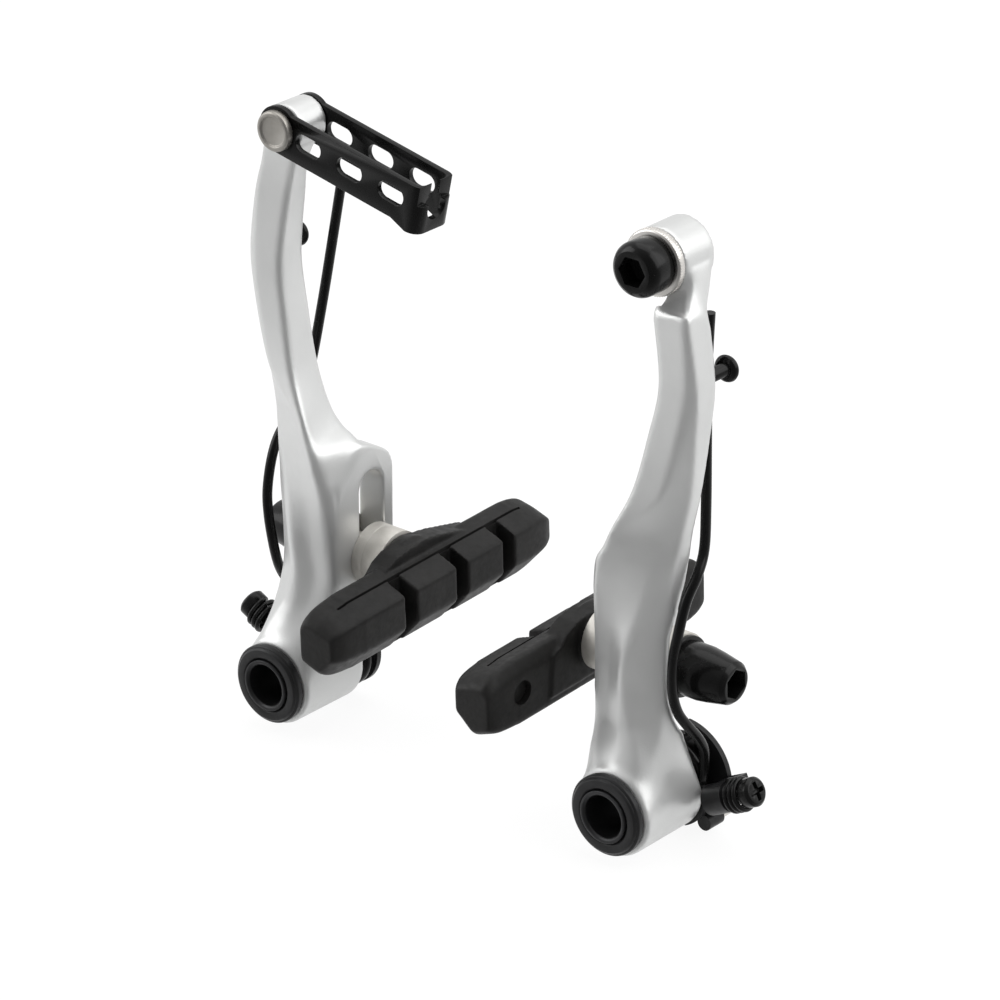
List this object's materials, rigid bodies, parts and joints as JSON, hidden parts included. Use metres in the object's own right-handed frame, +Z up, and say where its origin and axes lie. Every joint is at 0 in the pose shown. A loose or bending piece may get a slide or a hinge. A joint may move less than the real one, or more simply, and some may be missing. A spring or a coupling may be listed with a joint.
{
  "type": "linear pull rim brake",
  "caption": "Pair of forged rim brake arms with slotted shoe ears, rubber shoes on ball washers, return springs, a slotted cable link and a cable anchor bolt.",
  "frame": {"origin": "midway between the two pivot axes, in the plane where the bushes seat on the frame", "axes": "+X from the arm with the cable link to the arm with the cable anchor, +Y back towards the frame, +Z up along the arms"},
  "size_m": [0.1224, 0.0618, 0.1208],
  "materials": {
    "arm_metal": "satin silver anodised forging",
    "bush_steel": "satin",
    "black_plastic": "fine moulded",
    "pin_steel": "bright zinc",
    "washer_steel": "matt zinc",
    "black_steel": "black plated, semi gloss",
    "link_black": "black coated, semi gloss",
    "shoe_rubber": "moulded"
  },
  "bodies": {
    "mounting": {"left_bush": "bush_steel", "left_front_ring": "black_plastic", "left_spring_holder": "black_plastic", "left_stopper_pin": "pin_steel", "left_adjuster_coil": "black_steel", "right_bush": "bush_steel", "right_front_ring": "black_plastic", "right_spring_holder": "black_plastic", "right_stopper_pin": "pin_steel", "right_adjuster_coil": "black_steel"},
    "left_arm_body": {"left_arm": "arm_metal", "left_return_spring": "black_steel", "left_hook_pin": "black_steel", "link_pin": "pin_steel"},
    "right_arm_body": {"right_arm": "arm_metal", "right_return_spring": "black_steel", "right_hook_pin": "black_steel", "anchor_washer": "pin_steel", "anchor_bolt": "black_steel"},
    "link_body": {"cable_link": "link_black"},
    "left_screw": {"left_adjuster_screw": "black_steel"},
    "left_dome_pair": {"left_inner_dome": "washer_steel", "left_outer_dome": "washer_steel"},
    "left_cup_pair": {"left_inner_cup": "washer_steel", "left_outer_cup": "washer_steel", "left_flat_washer": "black_steel"},
    "left_shoe": {"left_shoe_pad": "shoe_rubber", "left_shoe_post": "washer_steel", "left_shoe_nut": "black_steel"},
    "right_screw": {"right_adjuster_screw": "black_steel"},
    "right_dome_pair": {"right_inner_dome": "washer_steel", "right_outer_dome": "washer_steel"},
    "right_cup_pair": {"right_inner_cup": "washer_steel", "right_outer_cup": "washer_steel", "right_flat_washer": "black_steel"},
    "right_shoe": {"right_shoe_pad": "shoe_rubber", "right_shoe_post": "washer_steel", "right_shoe_nut": "black_steel"}
  },
  "joints": [
    {"name": "left_arm_pivot", "type": "hinge", "parent": "mounting", "child": "left_arm_body", "pos_m": [-0.04, -0.0134, 0], "axis": [0, 1, 0], "range_deg": [-20, 10], "stiffness_Nm_per_rad": 0.6},
    {"name": "link_swing", "type": "hinge", "parent": "left_arm_body", "child": "link_body", "pos_m": [-0.0404, -0.01235, 0.107], "axis": [0, 1, 0], "range_deg": [-40, 14]},
    {"name": "left_adjuster_turn", "type": "hinge", "parent": "mounting", "child": "left_screw", "pos_m": [-0.0526, -0.006, 0.0009], "axis": [-0.891, 0, 0.454], "continuous": true},
    {"name": "left_shoe_height", "type": "slide", "parent": "left_arm_body", "child": "left_dome_pair", "axis": [0, 0, 1], "range_m": [-0.004, 0.013]},
    {"name": "left_shoe_toe_in", "type": "hinge", "parent": "left_dome_pair", "child": "left_cup_pair", "pos_m": [-0.0334, -0.0044, 0.023], "axis": [0, 0, 1], "range_deg": [-3, 3]},
    {"name": "left_shoe_swivel", "type": "hinge", "parent": "left_cup_pair", "child": "left_shoe", "pos_m": [-0.0334, -0.0044, 0.023], "axis": [1, 0, 0], "range_deg": [-8, 8]},
    {"name": "right_arm_pivot", "type": "hinge", "parent": "mounting", "child": "right_arm_body", "pos_m": [0.04, -0.0134, 0], "axis": [0, -1, 0], "range_deg": [-20, 10], "stiffness_Nm_per_rad": 0.6},
    {"name": "right_adjuster_turn", "type": "hinge", "parent": "mounting", "child": "right_screw", "pos_m": [0.0526, -0.006, 0.0009], "axis": [0.891, 0, 0.454], "continuous": true},
    {"name": "right_shoe_height", "type": "slide", "parent": "right_arm_body", "child": "right_dome_pair", "axis": [0, 0, 1], "range_m": [-0.004, 0.013]},
    {"name": "right_shoe_toe_in", "type": "hinge", "parent": "right_dome_pair", "child": "right_cup_pair", "pos_m": [0.0334, -0.0044, 0.023], "axis": [0, 0, 1], "range_deg": [-3, 3]},
    {"name": "right_shoe_swivel", "type": "hinge", "parent": "right_cup_pair", "child": "right_shoe", "pos_m": [0.0334, -0.0044, 0.023], "axis": [1, 0, 0], "range_deg": [-8, 8]}
  ]
}
